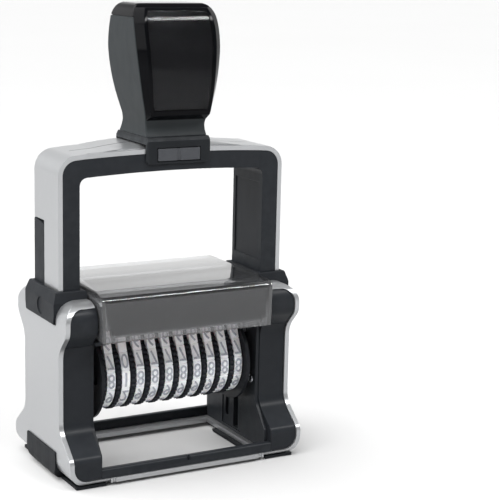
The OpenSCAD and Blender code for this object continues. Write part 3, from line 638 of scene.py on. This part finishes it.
def digitStrip(digits, step):
    # a flat strip of closed digits, one below the other, with cuts across it
    text = bpy.data.curves.new("digitStrip", "FONT")
    text.size = typeSet["height"] * mm / typeSet["fontShare"]
    text.align_x = "CENTER"
    strip = bmesh.new()
    for k, digit in enumerate(digits):
        if digit == " ":
            continue
        text.body = digit
        held = shown("digit", text)
        flat = evaluatedMesh(held)
        bpy.data.objects.remove(held)
        flat.transform(Matrix.Diagonal((typeSet["width"], -1, 1, 1)))   # mirror writing, which prints upright
        flat.flip_normals()
        flat.transform(Matrix.Translation((0, (typeSet["height"] / 2 - k * step) * mm, 0)))
        strip.from_mesh(flat)
        bpy.data.meshes.remove(flat)
    bmesh.ops.remove_doubles(strip, verts=strip.verts, dist=typeSet["join"] * mm)
    cut = -typeSet["height"] / 2 * mm
    while cut > -len(digits) * step * mm:
        bmesh.ops.bisect_plane(strip, geom=strip.verts[:] + strip.edges[:] + strip.faces[:],
                               plane_co=(0, cut, 0), plane_no=(0, 1, 0))
        cut -= typeSet["cut"] * mm
    return meshOf(strip, "digitStrip")


def wrapTree(path):
    # thickens a flat strip and lays it along a closed path in the YZ plane
    t = Shaping("typeOnBand", Start="Float", Across="Float", Rise="Float", Sink="Float")
    flat, sink = t.given["Geometry"], t.given["Sink"]
    lift = t.node("GeometryNodeExtrudeMesh", {"mode": "FACES"}, Mesh=flat, Individual=False,
                  Offset_Scale=t.maths("ADD", t.given["Rise"], sink))
    both = t.node("GeometryNodeJoinGeometry", i0=lift.outputs["Mesh"])
    t.tree.links.new(t.node("GeometryNodeFlipFaces", Mesh=flat).outputs[0], both.inputs[0])
    solid = t.node("GeometryNodeMergeByDistance", Geometry=both.outputs[0], Distance=typeSet["weld"] * mm)
    here = t.parts(t.node("GeometryNodeInputPosition").outputs[0])
    loop = t.node("GeometryNodeObjectInfo", Object=path).outputs["Geometry"]
    length = t.node("GeometryNodeCurveLength", i0=loop).outputs[0]
    run = t.maths("FLOORED_MODULO", t.maths("SUBTRACT", t.given["Start"], here["Y"]), length)
    spot = t.node("GeometryNodeSampleCurve", {"mode": "LENGTH"}, Curves=loop, Length=run).outputs
    outward = t.vectors("CROSS_PRODUCT", i0=(1, 0, 0), i1=spot["Tangent"])
    raised = t.vectors("SCALE", i0=outward, Scale=t.maths("SUBTRACT", sink, here["Z"]))
    across = t.node("ShaderNodeCombineXYZ", X=t.maths("ADD", here["X"], t.given["Across"])).outputs[0]
    place = t.vectors("ADD", i0=t.vectors("ADD", i0=spot["Position"], i1=raised), i1=across)
    move = t.node("GeometryNodeSetPosition", Geometry=solid.outputs[0], Position=place)
    return t.painted(move.outputs[0], "typeRubber")


def plainMesh(held, name):
    # the evaluated result as a plain mesh in a new object
    mesh = evaluatedMesh(held)
    mesh.name = name
    return shown(name, mesh)


def makeType():
    path, run = bandCurve()
    step = run / bandPath["blocks"]
    tree = wrapTree(path)
    for i, turned in zip(numbers, typeSet["turns"]):
        held = shown("strip", digitStrip(typeSet["digits"][turned:] + typeSet["digits"][:turned], step))
        low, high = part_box(f"band_{i}")
        modifier = held.modifiers.new("wrap", "NODES")
        modifier.node_group = tree
        setInputs(modifier, {"Start": 0.0, "Across": (low.x + high.x) / 2,
                             "Rise": typeSet["rise"] * mm, "Sink": typeSet["sink"] * mm})
        made = plainMesh(held, f"type_{i}")
        faceOutwards(made.data)
        bpy.data.objects.remove(held)
        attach(made, "number_unit")
    bpy.data.objects.remove(path)


makeType()
print("type laid on the bands")


cheekScrew = {
    "headR": 1.35, "headH": 0.55, "shankR": 0.74, "shankL": 2.6,   # mm
    "slot": 0.34, "slotL": 1.7, "slotDeep": 0.32,                  # mm, of the cross
    "point": 0.3,                          # mm, taper at the end of the shank
    "y": 10.4, "z": 24.0,                  # mm, of the four screws
    "spin": 1.5,                           # radians by which a screw is turned at most
}
axleClip = {
    "boreR": 1.5, "outR": 2.5, "thick": 0.3,   # mm
    "mouth": 70,                           # degrees that the ring leaves open
    "lugs": 3, "lugFrom": 0.55,            # lugs on the inside, and the cosine at which one begins
    "lugGap": 0.02, "ringGap": 0.4,        # shares of the width left open at a lug and between two
    "steps": 40,
    "spin": 0.4,                           # radians by which a clip is turned at most
}
sharpAngle = 35                            # degrees above which a small piece's edge stays sharp
pieceSeed = 4                              # of the turns of the screws and clips
latheSteps = 32


def lathe(profile):
    # closed body of revolution about Z from (radius, z) pairs that begin and end on the axis
    work = bmesh.new()
    turns = [2 * math.pi * k / latheSteps for k in range(latheSteps)]
    rows = []
    for radius, z in profile:
        if radius == 0:
            rows.append([work.verts.new((0, 0, z))])
        else:
            rows.append([work.verts.new((radius * math.cos(a), radius * math.sin(a), z)) for a in turns])
    for lower, upper in zip(rows, rows[1:]):
        for k in range(latheSteps):
            a, b = lower[k % len(lower)], lower[(k + 1) % latheSteps % len(lower)]
            c, d = upper[(k + 1) % latheSteps % len(upper)], upper[k % len(upper)]
            work.faces.new([v for n, v in enumerate((a, b, c, d)) if v not in (a, b, c, d)[:n]])
    bmesh.ops.recalc_face_normals(work, faces=work.faces)
    return meshOf(work, "lathe")


def block(size, centre):
    work = bmesh.new()
    bmesh.ops.create_cube(work, size=1)
    bmesh.ops.scale(work, vec=size, verts=work.verts)
    bmesh.ops.translate(work, vec=centre, verts=work.verts)
    return meshOf(work, "block")


def carved(body, cutters):
    # body without the cutters, as a mesh
    held = shown("body", body)
    helpers = [shown("cutter", cutter) for cutter in cutters]
    for helper in helpers:
        cut = held.modifiers.new("cut", "BOOLEAN")
        cut.operation = "DIFFERENCE"
        cut.solver = "EXACT"
        cut.object = helper
    mesh = evaluatedMesh(held)
    for helper in (held, *helpers):
        bpy.data.objects.remove(helper)
    return mesh


def screwMesh(look):
    # domed head towards +Z with its seat at z = 0, and a cross cut into it
    keys = ("headR", "headH", "shankR", "shankL", "point", "slotDeep", "slotL", "slot")
    r, h, s, l, tip, deep, arm, width = (look[k] * mm for k in keys)
    dome = [(0, 1), (0.45, 0.97), (0.75, 0.82), (0.93, 0.5), (1, 0.12)]   # shares of radius and height
    body = lathe([(r * x, h * z) for x, z in dome]
                 + [(r, 0), (s, 0), (s, -l + tip), (s - tip, -l), (0, -l)])
    return carved(body, [block((arm, width, 2 * deep), (0, 0, h)), block((width, arm, 2 * deep), (0, 0, h))])


def clipMesh(look):
    # open ring with lugs on its inside, lying on z = 0
    inner, outer, thick = (look[k] * mm for k in ("boreR", "outR", "thick"))
    half = math.radians(look["mouth"] / 2)
    work = bmesh.new()
    rings = []
    for k in range(look["steps"] + 1):
        a = half + (2 * math.pi - 2 * half) * k / look["steps"]
        atLug = math.cos(look["lugs"] * (a - math.pi)) > look["lugFrom"]
        near = inner + (outer - inner) * (look["lugGap"] if atLug else look["ringGap"])
        rings.append([work.verts.new((q * math.cos(a), q * math.sin(a), z))
                      for q, z in ((near, 0), (outer, 0), (outer, thick), (near, thick))])
    for lower, upper in zip(rings, rings[1:]):
        for k in range(4):
            work.faces.new((lower[k], lower[(k + 1) % 4], upper[(k + 1) % 4], upper[k]))
    work.faces.new(rings[0][::-1])
    work.faces.new(rings[-1])
    bmesh.ops.recalc_face_normals(work, faces=work.faces)
    return meshOf(work, "clip")


def setTree(finish):
    # puts a copy of one object on every point, turned about Y to its side and a little about its own axis
    t = Shaping("setPieces", Piece="Object", Spin="Float", Seed="Int")
    piece = t.node("GeometryNodeObjectInfo", Object=t.given["Piece"]).outputs["Geometry"]
    side = t.node("GeometryNodeInputNamedAttribute", {"data_type": "FLOAT"}, Name="side").outputs["Attribute"]
    turn = t.node("ShaderNodeCombineXYZ", Y=t.maths("MULTIPLY", side, math.pi / 2)).outputs[0]
    placed = t.node("GeometryNodeInstanceOnPoints", Points=t.given["Geometry"], Instance=piece, Rotation=turn)
    # the random node's largest float is its input 3, and its float result its output 1
    chance = t.node("FunctionNodeRandomValue", {"data_type": "FLOAT"}, i3=t.given["Spin"],
                    Seed=t.given["Seed"])
    aim = t.node("ShaderNodeCombineXYZ", Z=chance.outputs[1]).outputs[0]
    spun = t.node("GeometryNodeRotateInstances", Instances=placed.outputs[0], Rotation=aim)
    return t.painted(spun.outputs[0], finish)


def setPieces(name, mesh, spots, finish, spin=0.0):
    # spots are (point, side); side 1 faces +X and -1 faces -X
    points = bpy.data.meshes.new("spots")
    points.from_pydata([Vector(p) * mm for p, _ in spots], [], [])
    side = points.attributes.new("side", "FLOAT", "POINT")
    for k, (_, way) in enumerate(spots):
        side.data[k].value = way
    held, piece = shown("spots", points), shown("piece", mesh)
    modifier = held.modifiers.new("set", "NODES")
    modifier.node_group = setTree(finish)
    setInputs(modifier, {"Piece": piece, "Spin": spin, "Seed": pieceSeed})
    made = plainMesh(held, name)
    bpy.data.objects.remove(held)
    bpy.data.objects.remove(piece)
    made.data.shade_smooth()
    made.data.set_sharp_from_angle(angle=math.radians(sharpAngle))
    return made


def setFasteners():
    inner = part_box("right_cheek")[0].x / mm
    spots = [((side * inner, y * cheekScrew["y"], cheekScrew["z"]), -side)
             for side in (-1, 1) for y in (-1, 1)]
    screws = setPieces("cheek_screws", screwMesh(cheekScrew), spots, "steel", cheekScrew["spin"])
    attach(screws, "housing")
    low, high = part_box("wheel_axle")
    middle = (low + high) / 2 / mm
    reach = high.x / mm - axleClip["thick"]
    spots = [((side * reach, middle.y, middle.z), side) for side in (-1, 1)]
    clips = setPieces("axle_clips", clipMesh(axleClip), spots, "steel", axleClip["spin"])
    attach(clips, "number_unit")


setFasteners()
print("fasteners set")


springSet = {
    "coilR": 1.5, "wireR": 0.3,            # mm
    "turns": 12.0,
    "turnPoints": 28, "wirePoints": 10,    # points on one turn and round the wire
    "x": 34.35, "y": 5.6,                  # mm, of the four springs
    "travel": 32.0,                        # mm by which the stirrup shortens them
}


def coilTree():
    # one spring standing on z = 0, from its radius, wire, height and turns
    t = Shaping("springCoil", Radius="Float", Wire="Float", Height="Float", Turns="Float")
    radius = t.given["Radius"]
    spiral = t.node("GeometryNodeCurveSpiral", Resolution=springSet["turnPoints"], Rotations=t.given["Turns"],
                    Start_Radius=radius, End_Radius=radius, Height=t.given["Height"])
    ring = t.node("GeometryNodeCurvePrimitiveCircle", Resolution=springSet["wirePoints"],
                  Radius=t.given["Wire"])
    sweep = t.node("GeometryNodeCurveToMesh", Curve=spiral.outputs["Curve"],
                   Profile_Curve=ring.outputs["Curve"], Fill_Caps=True)
    return t.painted(sweep.outputs[0], "wire")


def windSprings():
    low, high = (corner.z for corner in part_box("return_springs"))
    wire = springSet["wireR"] * mm
    held = shown("spring", bpy.data.meshes.new("spring"))
    modifier = held.modifiers.new("coil", "NODES")
    modifier.node_group = coilTree()
    setInputs(modifier, {"Radius": springSet["coilR"] * mm, "Wire": wire,
                         "Height": high - low - 2 * wire, "Turns": springSet["turns"]})
    coil = plainMesh(held, "coil")
    foot = (low + wire) / mm
    spots = [((sx * springSet["x"], sy * springSet["y"], foot), 0) for sx in (-1, 1) for sy in (-1, 1)]
    springs = setPieces("coil_springs", coil.data, spots, "wire")
    faceOutwards(springs.data)
    bpy.data.objects.remove(held)
    bpy.data.objects.remove(coil)
    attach(springs, "housing")
    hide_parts("return_springs")
    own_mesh(springs)


windSprings()
print("springs wound")


studio = {
    "floor": (0.485, 0.485, 0.485),
    "floorTint": 0.99,                     # share of its brightness in the faint darker clouds
    "floorCloud": 0.4, "floorSize": 30,    # m
    "floorDrop": 0.02 * mm,                # clear of the feet
    "walls": 1.02,                         # at the horizon, all round
    "upper": 0.42,                         # higher up the walls
    "upperFrom": (0.30, 0.44),             # sine of the elevation where they darken
    "dim": 0.35,                           # share of it left on the side in front
    "dimFrom": (0.1, 0.85),
    "dimSide": (-0.25, -0.95, 0.15),       # where the dim wall stands
    "ceiling": 4.4,                        # added by the soft box overhead
    "ceilingFrom": (0.74, 0.80),
    "ceilingSide": (-0.5, 0.12, 1),        # it hangs to the left, off the sloping silver edges
    "aim": (0.0, 0.0, 0.07),               # m, where both lamps point; they are set in m and W
    "key": {"place": (-0.9, -0.34, 0.42), "size": (0.5, 0.5), "power": 2.2},
    "strip": {"place": (0.40, -0.60, 0.78), "size": (0.55, 0.09), "power": 6.0},
}


def layFloor():
    bpy.ops.mesh.primitive_plane_add(size=studio["floorSize"])
    floor = bpy.context.active_object
    floor.name = "floor"
    floor.location.z = -studio["floorDrop"]
    f = Finish("floorPaper", Specular_IOR_Level=0.0, Roughness=1.0)
    tone = f.spread(f.noise(studio["floorCloud"], detail=3))
    f.wire(Base_Color=f.blend(tone, studio["floor"], [c * studio["floorTint"] for c in studio["floor"]]))
    floor.data.materials.append(f.material)


def hangLamp(name, place, size, power):
    data = bpy.data.lights.new(name, "AREA")
    data.shape = "RECTANGLE"
    data.size, data.size_y = size
    data.energy = power
    lamp = shown(name, data)
    lamp.location = place
    lamp.rotation_euler = (Vector(studio["aim"]) - Vector(place)).to_track_quat("-Z", "Y").to_euler()


def lightRoom():
    # the room's light is a white whose strength changes with the direction
    world = bpy.data.worlds.new("studio")
    world.use_nodes = True
    w = Wiring(world.node_tree)
    way = w.node("ShaderNodeTexCoord").outputs["Generated"]

    def zone(axis, low, high, outLow, outHigh):
        # a strength that changes smoothly with the angle to an axis
        facing = w.node("ShaderNodeVectorMath", {"operation": "DOT_PRODUCT"}, i0=way,
                        i1=Vector(axis).normalized()).outputs["Value"]
        return w.node("ShaderNodeMapRange", {"interpolation_type": "SMOOTHSTEP"}, Value=facing,
                      From_Min=low, From_Max=high, To_Min=outLow, To_Max=outHigh).outputs[0]

    dim = zone(studio["dimSide"], *studio["dimFrom"], 1, studio["dim"])
    walls = zone((0, 0, 1), *studio["upperFrom"], studio["walls"], studio["upper"])
    ceiling = zone(studio["ceilingSide"], *studio["ceilingFrom"], 0, studio["ceiling"])
    background = w.tree.nodes["Background"].inputs
    w.tree.links.new(w.maths("MULTIPLY_ADD", dim, walls, ceiling), background["Strength"])
    background["Color"].default_value = (1, 1, 1, 1)
    scene.world = world
    scene.view_settings.view_transform = "Standard"


layFloor()
for name in ("key", "strip"):
    hangLamp(name, **studio[name])
lightRoom()
print("studio lit")
